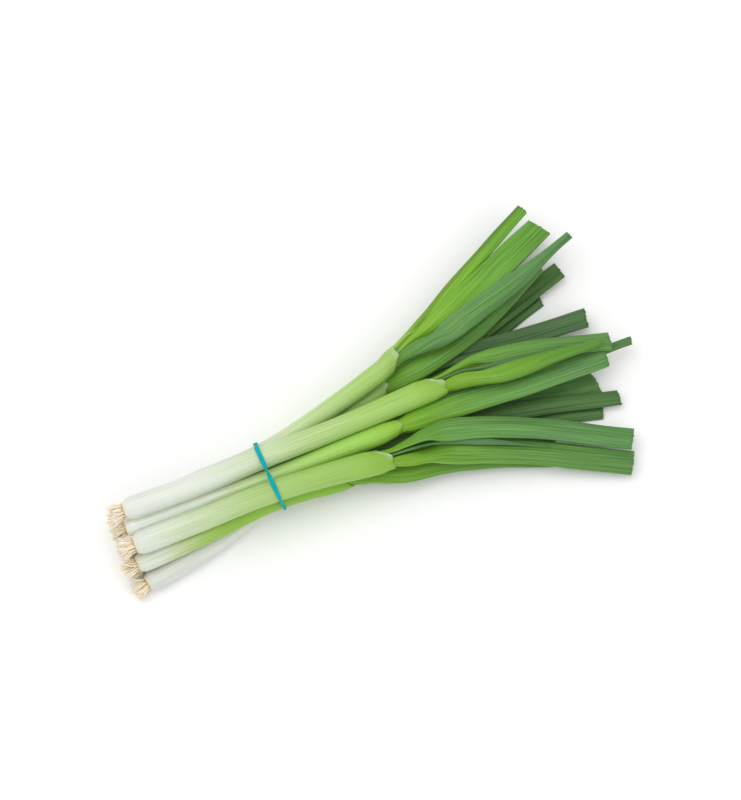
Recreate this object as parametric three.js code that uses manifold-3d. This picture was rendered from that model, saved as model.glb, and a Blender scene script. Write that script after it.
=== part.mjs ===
// A bunch of eight spring onions lying on a table and held by a rubber band.
// Each onion is a white-to-green stem with a root tuft at one end and cut leaves in the sheath's mouth.
// Millimetres, +Z up. X runs from the roots to the cut leaf tips, Y across the fan, and the table is Z = 0.
import * as THREE from "three";
import { mergeVertices } from "three/addons/utils/BufferGeometryUtils.js";
import Module from "manifold-3d";

const wasm = await Module();
wasm.setup();

// Driving dimensions
const CLEARANCE = 0.4; // free gap that is kept between two neighbouring pieces
const TABLE_SINK = 0.5; // how far a round underside is pressed flat by the table

const STEM_SIDES = 12;
const STEM_RINGS = 15;
const STEM_SWELL = 1.08; // bulb radius over the stem's radius at the band
const BASE_SHARE = 0.88; // radius of the stem's root end over the radius at the band
const BULB_ROUNDING = 7; // length over which the root end rounds up to the full bulb
const BULB_LENGTH = 15; // length of the full bulb
const BULB_FADE = 60; // length over which the bulb slims to the stem
const MOUTH_STRAIGHT = 26; // length of straight sheath before its mouth
const MOUTH_FLARE = 0.38; // share of the stem over which it flattens towards the mouth
const MOUTH_HEIGHT = 0.97; // sheath mouth's half height over the radius at the band
const FRONT_SWAY = 0.42; // share of the way sideways to its mouth that a stem has made halfway there
const FRONT_BEND = 1.25; // how late a stem turns to its mouth, 1 for a straight line
const RISE_START = 0.42; // share of the stem after which it is free to rise to its mouth
const CLOSE_RINGS = 0.3; // share of the stem with closer rings, where the bulb rounds off
const SHEATH_WALL = 0.9;
const SHEATH_ROOM = 0.6; // gap round the leaves inside the sheath's mouth
const SOCKET_DEPTH = 12;
const RIM_SLANT = 5; // half the length by which the sheath's rim falls back on its short side

const LEAF_SIDES = 10;
const LEAF_RING_STEP = 11;
const LEAF_SEAT = 10; // length of leaf that stands inside the sheath's mouth
const LEAF_STRAIGHT = 8; // length beyond the mouth before a leaf starts to bend away
const LEAF_FREE = 3; // length beyond the mouth before a leaf starts to open
const LEAF_UNFOLD = 34; // length over which a leaf opens to its own width and depth
const RIM_STEP = 5; // length beyond the mouth over which a leaf widens to the sheath's outside
const LEAF_TAPER = 0.45; // share of the leaf over which it narrows to its tip
const FOLD_LENGTH = 0.5; // share of the leaf over which its edges come to their full fold
const FOLD_LEVEL = 0.35; // squared share of the half width where a fold leaves the blade's height as it is
const LEAF_WALL = 0.75;
const TIP_HOLLOW = 14; // depth of the open tube end at a cut tip
const SEAT_SQUARENESS = 0.4; // below 1 the leaf's section in its seat has fuller corners than an oval

const BAND_WIDTH = 2.8;
const BAND_THICKNESS = 1.0;
const BAND_CLEARANCE = 0.7; // wider than between stems, because the stems cross the band at a slant
const BAND_STATIONS = 64;
const BAND_TWIST_SPAN = 15; // length over which the flat band turns over
const BAND_FOOT = 2; // x of the band's lowest point
const BAND_LEAN = 0.1; // how far the loop leans towards the roots for each millimetre of height
const BAND_BED = 60; // half width of the strip of table where the stems lie on the band

const ROOTLETS = 18;
const ROOTLET_RADIUS = 0.75;
const ROOTLET_TIP = 0.7; // rootlet's radius at its tip over the radius where it grows
const ROOTLET_LENGTH = 9.5;
const ROOTLET_LENGTHS = [0.75, 1.15]; // shortest and longest rootlet over that length
const ROOTLET_FLARE = [0.4, 2.8]; // how far a rootlet at the plate's edge bends outwards
const ROOTLET_TURN = 0.3; // how far a rootlet bends round the tuft, in radians, either way
const ROOTLET_STRAY = 0.5; // how far a rootlet stands from its regular place round the plate, in radians
const ROOTLET_SPREAD = 0.8; // radius of the area where rootlets grow over the root plate's radius
const ROOTLET_RINGS = [1, 0.4, 0]; // shares of a rootlet's length with a ring, from the tip
const ROOTLET_SINK = 1; // how far inside the root plate a rootlet starts
const ROOT_GAP = 0.4; // gap between the stem's root end and the root plate
const ROOT_PLATE_SIDES = 10;
const ROOT_PLATE_DEPTH = 2.6;
const ROOT_PLATE_SHARE = 0.92; // root plate's radius over the stem's root end
const ROOT_PLATE_DOME = 0.6; // radius of the plate's rear edge, and depth of its full rim, over the whole

// How a piece settles on those below it
const LAY_ROUNDS = 400;
const LAY_STEP = 1.5; // spacing of the places where the height below is looked up
const SAG = 0.04; // how strongly a piece sinks to its free height in one round
const STRAIGHTEN = 0.5; // how strongly it straightens in one round
const LIFT = 0.6; // how much of a missing height is made up in one round
const STEM_LAYING = { knots: 8, stiffness: 0.9 };
const LEAF_LAYING = { knots: 12, stiffness: 0.8 };

const FINISHES = {
  stem: { color: 0xdfe8cf, roughness: 0.45 },
  leaf: { color: 0x5c9a3c, roughness: 0.5 },
  roots: { color: 0xd9c193, roughness: 0.9 },
  band: { color: 0x10a9b4, roughness: 0.6 },
};

// The onions in the order in which they lie on each other, lowest first.
// Places are [x, y], and x = 0 is the band.
// A stem runs from root to mouth, whose third number is its height if nothing lies under it.
// band is the stem's y where the band crosses it, and radius is its radius there. sway is the share of the
// way sideways to its root that the stem has made halfway there. lift is the height at which the stem is held
// between its neighbours, or 0 where it lies on those below.
// flare is the mouth's half width over that radius. stack is the direction in which the leaves follow each
// other in the mouth and rim that of the rim's short side, both in degrees from the far side over the top.
// A leaf runs from its seat by its via points to its tip. seat is its share of the mouth in the direction of
// the stack, from -1 at one wall to 1 at the other. rise is the tip's height if nothing lies under it, taper
// the tip's width over the full width, fold the lift (+) or drop (-) of the blade's edges over its half
// depth, and cut the slant of the cut end in degrees.
const ONIONS = [
  {
    name: "onion_1", root: [-90, -15], sway: 0.5, lift: 0, band: 2.5, mouth: [94, 12.5, 5], radius: 5.2,
    flare: 1.06, stack: 90, rim: 35,
    leaves: [
      { seat: [-1, -0.35], via: [[112, 8.2], [135, 1], [180, -17]], tip: [213.5, -23],
        width: 19, depth: 3.4, rise: 0, taper: 0.9, fold: -0.6, cut: -12 },
      { seat: [-0.35, 0.35], via: [[115, 17], [140, 25]], tip: [206, 42.5],
        width: 9, depth: 3.4, rise: 0, taper: 0.8, fold: 0, cut: 15 },
      { seat: [0.35, 1], via: [[113, 21], [140, 32]], tip: [225, 55],
        width: 14, depth: 3.4, rise: 6, taper: 0.85, fold: 0.5, cut: 5 },
    ],
  },
  {
    name: "onion_2", root: [-92, -27.5], sway: 0.62, lift: 0, band: -10.5, mouth: [66, -7, 6], radius: 5.8,
    flare: 1.06, stack: 90, rim: 35,
    leaves: [
      { seat: [-1, 0], via: [[90, -14.5], [120, -19], [170, -31]], tip: [208, -42],
        width: 11, depth: 3.2, rise: 0, taper: 0.7, fold: 0, cut: 10 },
      { seat: [0, 1], via: [[120, -11], [175, -24]], tip: [221, -38],
        width: 12, depth: 3.6, rise: 5, taper: 0.85, fold: -0.5, cut: -8 },
    ],
  },
  {
    name: "onion_3", root: [-91, -2], sway: 0.5, lift: 0, band: 15.3, mouth: [89, 27.2, 8], radius: 5.8,
    flare: 1.15, stack: 90, rim: 270,
    leaves: [
      { seat: [-1, 0], via: [[137, 28.5], [180, 22]], tip: [225, 17.3],
        width: 12, depth: 3.6, rise: 9, taper: 1.1, fold: 0.5, cut: 8 },
      { seat: [0, 1], via: [[112, 28.7], [130, 32.2], [156, 38.5]], tip: [212, 60],
        width: 15, depth: 3.6, rise: 13, taper: 0.6, fold: -0.5, cut: 0 },
    ],
  },
  {
    name: "onion_4", root: [-89, 17.5], sway: 0.5, lift: 0, band: 15.5, mouth: [105, 38.5, 19], radius: 5.8,
    flare: 1.1, stack: 155, rim: 197,
    leaves: [
      { seat: [-1, -0.5], via: [[125, 51], [154, 67]], tip: [218, 98],
        width: 9, depth: 5, rise: 20, taper: 0.9, fold: 0, cut: 0 },
      { seat: [-0.5, 0], via: [[145, 50.5], [185, 67]], tip: [224, 84],
        width: 19, depth: 3.6, rise: 15, taper: 0.9, fold: 0.6, cut: -8 },
      { seat: [0, 1], via: [[125, 37], [154, 43.3], [190, 53]], tip: [237, 68.5],
        width: 14, depth: 3.6, rise: 22, taper: 0.36, fold: 0.8, cut: 0 },
    ],
  },
  {
    name: "onion_5", root: [-93, -17.5], sway: 0.5, lift: 0, band: -15.5, mouth: [46, -20, 12], radius: 5.7,
    flare: 1.06, stack: 90, rim: 35,
    leaves: [
      { seat: [-1, 0], via: [[88, -20.5]], tip: [172, -46],
        width: 9, depth: 3.2, rise: 5, taper: 0.6, fold: 0, cut: 0 },
      { seat: [0, 1], via: [[75, -28.2], [112, -35.7]], tip: [185, -64.5],
        width: 14, depth: 3.6, rise: 0, taper: 0.7, fold: -0.4, cut: 0 },
    ],
  },
  {
    name: "onion_6", root: [-91, 4.5], sway: 0.5, lift: 22, band: -1.8, mouth: [86, -3.8, 20], radius: 5.8,
    flare: 1.06, stack: 90, rim: 270,
    leaves: [
      { seat: [-1, 0], via: [[150, -4]], tip: [243, -9],
        width: 7, depth: 3.2, rise: 12, taper: 0.8, fold: 0, cut: 10 },
      { seat: [0, 1], via: [[118, -5], [170, -10]], tip: [222.5, -13],
        width: 14.5, depth: 3.8, rise: 16, taper: 0.95, fold: -0.8, cut: 0 },
    ],
  },
  {
    name: "onion_7", root: [-90, -9], sway: 0.5, lift: 0, band: -13.5, mouth: [72, -21.2, 24], radius: 6.5,
    flare: 1.2, stack: 15, rim: -17,
    leaves: [
      { seat: [-1, 0.1], via: [[104, -30], [145, -45.5]], tip: [209, -80],
        width: 16, depth: 3.8, rise: 6, taper: 1.0, fold: -0.6, cut: 5 },
      { seat: [0.1, 0.45], via: [[98, -22], [115, -27.5], [137, -38]], tip: [165, -52],
        width: 5, depth: 3.4, rise: 14, taper: 0.4, fold: 0, cut: 0 },
      { seat: [0.45, 1], via: [[105, -18.6], [129, -25.2], [165, -39.5]], tip: [215, -67],
        width: 14, depth: 3.8, rise: 9, taper: 1.0, fold: -0.4, cut: 5 },
    ],
  },
  {
    name: "onion_8", root: [-88, 11.5], sway: 0, lift: 0, band: 9, mouth: [121, 9.4, 25], radius: 6.4,
    flare: 1.2, stack: 165, rim: -17,
    leaves: [
      { seat: [-1, -0.25], via: [[146, 14.2], [166, 11.8], [190, 6.5]], tip: [228.5, -6.2],
        width: 12, depth: 3.8, rise: 18, taper: 1.0, fold: -0.5, cut: -5 },
      { seat: [-0.25, 0.1], via: [[146, 7.5], [170, 5]], tip: [198, 1.5],
        width: 5, depth: 3.4, rise: 22, taper: 0.4, fold: 0, cut: 0 },
      { seat: [0.1, 1], via: [[158, -0.5], [190, -3]], tip: [221, -5.5],
        width: 11, depth: 4.2, rise: 24, taper: 0.5, fold: -0.4, cut: 0 },
    ],
  },
];

const UP = new THREE.Vector3(0, 0, 1);
const smooth = (t) => THREE.MathUtils.smoothstep(t, 0, 1);
const mix = THREE.MathUtils.lerp;

// The height of everything laid so far, on a square grid over the table.
class Heap {
  static CELL = 0.5;
  static LOW = [-130, -120];
  static COUNT = [800, 520];

  constructor() {
    this.heights = new Float32Array(Heap.COUNT[0] * Heap.COUNT[1]);
  }

  index(x, y) {
    const column = Math.round((x - Heap.LOW[0]) / Heap.CELL);
    const row = Math.round((y - Heap.LOW[1]) / Heap.CELL);
    return row * Heap.COUNT[0] + column;
  }

  // Raises the heap to a point of a new piece.
  cover(point) {
    const i = this.index(point.x, point.y);
    this.heights[i] = Math.max(this.heights[i], point.z);
  }

  // The highest cell at or beside a place.
  top(x, y) {
    const i = this.index(x, y);
    let highest = 0;
    for (const row of [-Heap.COUNT[0], 0, Heap.COUNT[0]])
      for (const column of [-1, 0, 1]) highest = Math.max(highest, this.heights[i + row + column]);
    return highest;
  }
}

// A path over the table: plan points joined by a smooth curve, with a height for each share of its length.
class Path {
  constructor(planPoints) {
    const points = planPoints.map(([x, y]) => new THREE.Vector3(x, y, 0));
    this.plan = new THREE.CatmullRomCurve3(points, false, "centripetal");
    this.plan.arcLengthDivisions = 400;
    this.length = this.plan.getLength();
    this.knots = [];
  }

  height(share) {
    const k = this.knots;
    const at = THREE.MathUtils.clamp(share, 0, 1) * (k.length - 1);
    const i = Math.min(Math.floor(at), k.length - 2);
    const [before, after] = [k[Math.max(i - 1, 0)], k[Math.min(i + 2, k.length - 1)]];
    return catmullRom(before, k[i], k[i + 1], after, at - i);
  }

  point(share) {
    const p = this.plan.getPointAt(THREE.MathUtils.clamp(share, 0, 1));
    p.z = this.height(share);
    return p;
  }

  // Place, direction, sideways axis (+ is the far side) and upward axis at a share of the length.
  frame(share) {
    const step = 0.004;
    const along = this.point(share + step).sub(this.point(share - step)).normalize();
    const side = new THREE.Vector3().crossVectors(UP, along).normalize();
    const rise = new THREE.Vector3().crossVectors(along, side);
    return { centre: this.point(share), along, side, rise };
  }
}

function catmullRom(a, b, c, d, t) {
  const slopeB = (c - a) / 2;
  const slopeC = (d - b) / 2;
  const [t2, t3] = [t * t, t * t * t];
  return (2 * t3 - 3 * t2 + 1) * b + (t3 - 2 * t2 + t) * slopeB + (3 * t2 - 2 * t3) * c + (t3 - t2) * slopeC;
}

// Angles of a section's corners with one edge facing straight down.
function cornerAngles(sides) {
  return Array.from({ length: sides }, (_, j) => ((j + 0.5) / sides) * 2 * Math.PI - Math.PI / 2);
}

// Corners of an oval section: across and up.
function oval(halfWidth, halfHeight, fold, sides) {
  return cornerAngles(sides).map((angle) => {
    const across = halfWidth * Math.cos(angle);
    const lift = fold * halfHeight * ((across / halfWidth) ** 2 - FOLD_LEVEL);
    return [across, halfHeight * Math.sin(angle) + lift];
  });
}

function placed(frame, [across, up], onwards = 0) {
  return frame.centre.clone()
    .addScaledVector(frame.side, across)
    .addScaledVector(frame.rise, up)
    .addScaledVector(frame.along, onwards);
}

// Sets a path's heights so that the piece lies on the heap and bends no more than it has to.
// section gives the outline at a share and free the unloaded height. The first fixed knots keep that height,
// and before the share start nothing below counts.
function settle(path, heap, section, free, { knots, stiffness }, fixed = 0, start = 0) {
  path.knots = Array.from({ length: knots }, (_, k) => free(k / (knots - 1)));
  const rest = [...path.knots];
  const stations = Math.ceil(path.length / LAY_STEP);
  const needed = Array.from({ length: stations + 1 }, (_, i) => {
    const share = i / stations;
    if (share < start) return -Infinity;
    const frame = path.frame(share);
    return Math.max(...section(share).map((corner) => {
      const at = placed(frame, [corner[0], 0]);
      const below = heap.top(at.x, at.y);
      const gap = below > 0 ? CLEARANCE : -TABLE_SINK;
      return below + gap - corner[1];
    }));
  });
  for (let round = 0; round < LAY_ROUNDS; round++) {
    const softness = stiffness * (1 - round / LAY_ROUNDS);
    for (let k = fixed; k < knots; k++) {
      const here = path.knots[k];
      const before = k > 0 ? path.knots[k - 1] : 2 * here - path.knots[k + 1];
      const beyond = k + 1 < knots ? path.knots[k + 1] : 2 * here - path.knots[k - 1];
      const bend = (before + beyond) / 2 - here;
      path.knots[k] += softness * (STRAIGHTEN * bend + SAG * (rest[k] - here));
    }
    needed.forEach((least, i) => {
      const short = least - path.height(i / stations);
      if (short <= 0) return;
      const at = (i / stations) * (knots - 1);
      for (const k of [Math.floor(at), Math.floor(at) + 1]) {
        const share = 1 - Math.abs(k - at);
        if (k >= fixed && k < knots) path.knots[k] += LIFT * short * share;
      }
    });
  }
}

// Adds a laid piece to the heap, from a share of its length to its end.
function coverHeap(heap, path, section, from) {
  const stations = Math.ceil(path.length);
  const pointsPerEdge = 5;
  for (let i = Math.ceil(from * stations); i <= stations; i++) {
    const frame = path.frame(i / stations);
    const outline = section(i / stations);
    outline.forEach((corner, j) => {
      const next = outline[(j + 1) % outline.length];
      for (let f = 0; f < pointsPerEdge; f++) {
        const t = f / pointsPerEdge;
        heap.cover(placed(frame, [mix(corner[0], next[0], t), mix(corner[1], next[1], t)]));
      }
    });
  }
}

// A closed skin over rings of points, each end drawn to its own centre point.
// Nothing reaches below the table.
function loft(rings) {
  const sides = rings[0].length;
  const centreOf = (ring) => ring.reduce((sum, p) => sum.add(p), new THREE.Vector3()).divideScalar(sides);
  const points = [...rings.flat(), centreOf(rings[0]), centreOf(rings.at(-1))];
  points.forEach((p) => (p.z = Math.max(p.z, 0)));
  const [first, last] = [points.length - 2, points.length - 1];
  const faces = [];
  for (let j = 0; j < sides; j++) {
    const k = (j + 1) % sides;
    faces.push([first, k, j]);
    for (let i = 0; i + 1 < rings.length; i++) {
      const [a, b, c, d] = [i * sides + j, i * sides + k, (i + 1) * sides + k, (i + 1) * sides + j];
      faces.push([a, b, c], [a, c, d]);
    }
    faces.push([last, (rings.length - 1) * sides + j, (rings.length - 1) * sides + k]);
  }
  const geometry = new THREE.BufferGeometry().setFromPoints(points);
  geometry.setIndex(faces.flat());
  geometry.computeVertexNormals();
  return geometry;
}

function mesh(name, geometry, finish) {
  const made = new THREE.Mesh(geometry, new THREE.MeshStandardMaterial({ ...finish, metalness: 0 }));
  made.name = name;
  return made;
}

// Half width and half height of a stem at a share of its length, from the rounded root end to the flat mouth.
function stemSize(onion, share, length) {
  const distance = share * length;
  const rise = Math.min(1, distance / BULB_ROUNDING);
  const bulb = mix(BASE_SHARE, STEM_SWELL, Math.sqrt(1 - (1 - rise) ** 2));
  const slim = mix(bulb, 1, smooth((distance - BULB_LENGTH) / BULB_FADE));
  const open = smooth((share - 1 + MOUTH_FLARE) / MOUTH_FLARE);
  return [onion.radius * mix(slim, onion.flare, open), onion.radius * mix(slim, MOUTH_HEIGHT, open)];
}

function layStem(onion, heap) {
  const [rootX, rootY] = onion.root;
  const [mouthX, mouthY, mouthHeight] = onion.mouth;
  const straightStart = mouthX - MOUTH_STRAIGHT;
  const path = new Path([
    onion.root,
    [rootX / 2, mix(onion.band, rootY, onion.sway)],
    [0, onion.band],
    [mouthX / 2, mix(onion.band, mouthY, FRONT_SWAY)],
    [straightStart, mix(onion.band, mouthY, (straightStart / mouthX) ** FRONT_BEND)],
    onion.mouth,
  ]);
  const section = (share) => oval(...stemSize(onion, share, path.length), 0, STEM_SIDES);
  const free = (share) => mix(onion.lift, mouthHeight, smooth((share - RISE_START) / (1 - RISE_START)));
  settle(path, heap, section, free, STEM_LAYING);
  coverHeap(heap, path, section, 0);
  return { path, section };
}

function stemSolid(onion, { path, section }) {
  const rings = Array.from({ length: STEM_RINGS }, (_, i) => {
    const even = i / (STEM_RINGS - 1);
    const share = even < CLOSE_RINGS ? (even * even) / CLOSE_RINGS : even;
    const frame = path.frame(share);
    return section(share).map((corner) => placed(frame, corner));
  });
  const mouth = path.frame(1);
  const outline = section(1);
  const [halfWidth, halfHeight] = stemSize(onion, 1, path.length);
  const inner = outline.map(([across, up]) => [
    across * (1 - SHEATH_WALL / halfWidth),
    up * (1 - SHEATH_WALL / halfHeight),
  ]);
  const rim = THREE.MathUtils.degToRad(onion.rim);
  const slant = ([across, up]) => {
    const towardsShort = (across / halfWidth) * Math.cos(rim) + (up / halfHeight) * Math.sin(rim);
    return -RIM_SLANT * (1 + towardsShort);
  };
  rings[STEM_RINGS - 1] = outline.map((corner) => placed(mouth, corner, slant(corner)));
  const floor = path.frame(1 - SOCKET_DEPTH / path.length);
  rings.push(inner.map((corner, j) => placed(mouth, corner, slant(outline[j]))));
  rings.push(inner.map((corner) => placed(floor, corner)));
  return loft(rings);
}

// A leaf's section in its seat, a slice of the oval room inside the mouth: its middle and its corners.
function seatSection(onion, seat) {
  const roomWidth = onion.radius * onion.flare - SHEATH_WALL - SHEATH_ROOM;
  const roomHeight = onion.radius * MOUTH_HEIGHT - SHEATH_WALL - SHEATH_ROOM;
  const stack = THREE.MathUtils.degToRad(onion.stack);
  const inRoom = (onwards, aside) => [
    roomWidth * (onwards * Math.cos(stack) + aside * Math.sin(stack)),
    roomHeight * (onwards * Math.sin(stack) - aside * Math.cos(stack)),
  ];
  const [low, high] = seat;
  const centre = (low + high) / 2;
  const half = (high - low - CLEARANCE / roomHeight) / 2;
  const middle = inRoom(centre, 0);
  const corners = cornerAngles(LEAF_SIDES).map((angle) => {
    const onwards = centre + half * Math.sin(angle);
    const reach = Math.sqrt(1 - onwards ** 2) * Math.abs(Math.cos(angle)) ** SEAT_SQUARENESS;
    const [across, up] = inRoom(onwards, reach * Math.sign(Math.cos(angle)));
    return [across - middle[0], up - middle[1]];
  });
  return { middle, corners, widening: (onion.radius * onion.flare) / roomWidth };
}

function layLeaf(onion, stem, leaf, heap) {
  const seat = seatSection(onion, leaf.seat);
  const mouth = stem.path.frame(1);
  const seatAt = (distance) => {
    const at = placed(mouth, [seat.middle[0], 0], distance);
    return [at.x, at.y];
  };
  const path = new Path([seatAt(-LEAF_SEAT), seatAt(0), seatAt(LEAF_STRAIGHT), ...leaf.via, leaf.tip]);
  const outside = (share) => share * path.length - LEAF_SEAT;
  const section = (share) => {
    const narrowing = mix(1, leaf.taper, smooth((share - 1 + LEAF_TAPER) / LEAF_TAPER));
    const fold = leaf.fold * smooth(share / FOLD_LENGTH);
    const open = oval((leaf.width / 2) * narrowing, leaf.depth / 2, fold, LEAF_SIDES);
    const widening = mix(1, seat.widening, smooth(outside(share) / RIM_STEP));
    const opened = smooth((outside(share) - LEAF_STRAIGHT) / LEAF_UNFOLD);
    return seat.corners.map(([across, up], j) => [
      mix((seat.middle[0] + across) * widening - seat.middle[0], open[j][0], opened),
      mix(up, open[j][1], opened),
    ]);
  };
  const seatShare = LEAF_SEAT / path.length;
  const free = (share) => {
    const straight = mouth.centre.z + seat.middle[1] + mouth.along.z * outside(share);
    return mix(straight, leaf.rise, smooth((share - seatShare) / (1 - seatShare)));
  };
  settle(path, heap, section, free, LEAF_LAYING, 2, seatShare + LEAF_FREE / path.length);
  coverHeap(heap, path, section, seatShare);
  return { path, section };
}

function leafSolid(leaf, { path, section }) {
  const count = Math.round(path.length / LEAF_RING_STEP) + 1;
  const cut = Math.tan(THREE.MathUtils.degToRad(leaf.cut));
  const rings = Array.from({ length: count }, (_, i) => {
    const share = i / (count - 1);
    const frame = path.frame(share);
    const last = i === count - 1 ? 1 : 0;
    return section(share).map((corner) => placed(frame, corner, last * cut * corner[0]));
  });
  const inside = (share, onwards) => {
    const frame = path.frame(share);
    const outline = section(share);
    const width = Math.max(...outline.map(([across]) => across));
    const height = (Math.max(...outline.map(([, up]) => up)) - Math.min(...outline.map(([, up]) => up))) / 2;
    const middle = Math.min(...outline.map(([, up]) => up)) + height;
    return outline.map(([across, up]) => placed(
      frame,
      [across * (1 - LEAF_WALL / width), middle + (up - middle) * (1 - LEAF_WALL / height)],
      onwards * cut * across,
    ));
  };
  rings.push(inside(1, 1), inside(1 - TIP_HOLLOW / path.length, 0));
  return loft(rings);
}

// A small generator with a fixed seed, for the rootlets' lengths and bends.
function seeded(seed) {
  let state = seed;
  return () => {
    state = (state * 16807) % 2147483647;
    return state / 2147483647;
  };
}

function solidOf(geometry) {
  const bare = geometry.clone();
  bare.deleteAttribute("normal");
  const merged = mergeVertices(bare, 1e-4);
  return new wasm.Manifold(new wasm.Mesh({
    numProp: 3,
    vertProperties: new Float32Array(merged.attributes.position.array),
    triVerts: new Uint32Array(merged.index.array),
  }));
}

function geometryOf(solid) {
  const { vertProperties, triVerts } = solid.getMesh();
  const geometry = new THREE.BufferGeometry();
  geometry.setAttribute("position", new THREE.BufferAttribute(new Float32Array(vertProperties), 3));
  geometry.setIndex(new THREE.BufferAttribute(new Uint32Array(triVerts), 1));
  geometry.computeVertexNormals();
  return geometry;
}

// The root plate with its rootlets spread by the golden angle, in the frame of the stem's root end.
function rootTuft(onion, { path }, seed) {
  const random = seeded(seed);
  const frame = path.frame(0);
  const plateRadius = onion.radius * BASE_SHARE * ROOT_PLATE_SHARE;
  const at = (radius, angle, back) =>
    placed(frame, [radius * Math.cos(angle), radius * Math.sin(angle)], -back);
  const plateRing = (radius, back) => Array.from({ length: ROOT_PLATE_SIDES }, (_, j) =>
    at(radius, ((j + 0.5) / ROOT_PLATE_SIDES) * 2 * Math.PI - Math.PI / 2, back));
  let tuft = solidOf(loft([
    plateRing(plateRadius * ROOT_PLATE_DOME, ROOT_GAP + ROOT_PLATE_DEPTH),
    plateRing(plateRadius, ROOT_GAP + ROOT_PLATE_DEPTH * ROOT_PLATE_DOME),
    plateRing(plateRadius, ROOT_GAP),
  ]));
  const goldenAngle = Math.PI * (3 - Math.sqrt(5));
  for (let i = 0; i < ROOTLETS; i++) {
    const spread = Math.sqrt((i + 0.5) / ROOTLETS);
    const angle = i * goldenAngle + random() * ROOTLET_STRAY;
    const turn = mix(-ROOTLET_TURN, ROOTLET_TURN, random());
    const flare = mix(...ROOTLET_FLARE, random()) * spread;
    const length = ROOTLET_LENGTH * mix(...ROOTLET_LENGTHS, random());
    const rings = ROOTLET_RINGS.map((t) => {
      const radius = plateRadius * spread * ROOTLET_SPREAD + t * t * flare;
      const middle = at(radius, angle + t * turn, ROOT_GAP + ROOTLET_SINK + t * length);
      const thick = ROOTLET_RADIUS * mix(1, ROOTLET_TIP, t);
      return [0, 1, 2].map((j) => (j / 3) * 2 * Math.PI).map((around) => middle.clone()
        .addScaledVector(frame.side, thick * Math.cos(around))
        .addScaledVector(frame.rise, thick * Math.sin(around)));
    });
    tuft = tuft.add(solidOf(loft(rings)));
  }
  return geometryOf(tuft);
}

// The tight loop round the stems at the band, as a closed run of straight lines in y and z.
function bandLoop(stems) {
  const reach = BAND_CLEARANCE + BAND_THICKNESS / 2;
  const round = stems.flatMap(({ onion, path }) => {
    const share = shareAtBand(path);
    const { y, z } = path.point(share);
    const radius = Math.max(...stemSize(onion, share, path.length)) + reach;
    const corners = 90;
    return Array.from({ length: corners }, (_, i) => {
      const angle = (i / corners) * 2 * Math.PI;
      return new THREE.Vector2(y + radius * Math.cos(angle), z + radius * Math.sin(angle));
    });
  });
  const hull = convexHull(round);
  const loop = new THREE.CurvePath();
  hull.forEach((p, i) => loop.add(new THREE.LineCurve(p, hull[(i + 1) % hull.length])));
  return loop;
}

function shareAtBand(path) {
  let [low, high] = [0, 1];
  for (let i = 0; i < 40; i++) {
    const middle = (low + high) / 2;
    if (path.point(middle).x < 0) low = middle;
    else high = middle;
  }
  return (low + high) / 2;
}

function convexHull(points) {
  const sorted = [...points].sort((p, q) => p.x - q.x || p.y - q.y);
  const turn = (o, p, q) => (p.x - o.x) * (q.y - o.y) - (p.y - o.y) * (q.x - o.x);
  const half = (list) => list.reduce((kept, p) => {
    while (kept.length > 1 && turn(kept.at(-2), kept.at(-1), p) <= 0) kept.pop();
    return [...kept, p];
  }, []);
  return [...half(sorted).slice(0, -1), ...half(sorted.reverse()).slice(0, -1)];
}

// A flat elastic band: it lies on the stems, turns over where it spans two of them and back again further on.
function bandSolid(stems) {
  const loop = bandLoop(stems);
  const perimeter = loop.getLength();
  const lowest = Math.min(...loop.getPoints(1).map((p) => p.y));
  const crossings = freeSpans(loop);
  const corners = [[-1, -1], [1, -1], [1, 1], [-1, 1]]
    .map(([wide, thick]) => [(wide * BAND_WIDTH) / 2, (thick * BAND_THICKNESS) / 2]);
  const points = [];
  for (let i = 0; i < BAND_STATIONS; i++) {
    const share = i / BAND_STATIONS;
    const at = loop.getPoint(share);
    const step = 0.004;
    const along = loop.getPoint((share + step) % 1).sub(loop.getPoint((share + 1 - step) % 1)).normalize();
    const outward = new THREE.Vector3(0, along.y, -along.x);
    const turned = crossings.reduce((sum, { middle, sense }) => {
      const away = ((share - middle + 1.5) % 1 - 0.5) * perimeter;
      return sum + sense * Math.PI * smooth(away / BAND_TWIST_SPAN + 0.5);
    }, 0);
    const centre = new THREE.Vector3(BAND_FOOT - BAND_LEAN * (at.y - lowest), at.x, at.y);
    for (const [wide, thick] of corners) {
      const x = wide * Math.cos(turned) - thick * Math.sin(turned);
      const out = wide * Math.sin(turned) + thick * Math.cos(turned);
      points.push(centre.clone().addScaledVector(outward, out).add(new THREE.Vector3(x, 0, 0)));
    }
  }
  const faces = [];
  for (let i = 0; i < BAND_STATIONS; i++)
    for (let j = 0; j < 4; j++) {
      const next = (i + 1) % BAND_STATIONS;
      const [a, b, c, d] = [i * 4 + j, i * 4 + ((j + 1) % 4), next * 4 + ((j + 1) % 4), next * 4 + j];
      faces.push(a, b, c, a, c, d);
    }
  const geometry = new THREE.BufferGeometry().setFromPoints(points);
  geometry.setIndex(faces);
  geometry.computeVertexNormals();
  return geometry;
}

// The loop's two longest straight spans off the table: the band turns over in one and back in the other.
function freeSpans(loop) {
  const lengths = loop.getCurveLengths();
  const spans = loop.curves.map((line, i) => ({
    length: line.getLength(),
    middle: (lengths[i] - line.getLength() / 2) / lengths.at(-1),
    height: Math.min(line.v1.y, line.v2.y),
  }));
  const free = spans.filter(({ height }) => height > BAND_WIDTH).sort((p, q) => q.length - p.length);
  return [{ ...free[0], sense: 1 }, { ...free[1], sense: -1 }];
}

const heap = new Heap();
// The stems lie on the band where it passes under them.
for (let x = -2 * BAND_WIDTH; x <= 3 * BAND_WIDTH; x += Heap.CELL)
  for (let y = -BAND_BED; y <= BAND_BED; y += Heap.CELL)
    heap.cover(new THREE.Vector3(x, y, BAND_THICKNESS + BAND_CLEARANCE));

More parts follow.
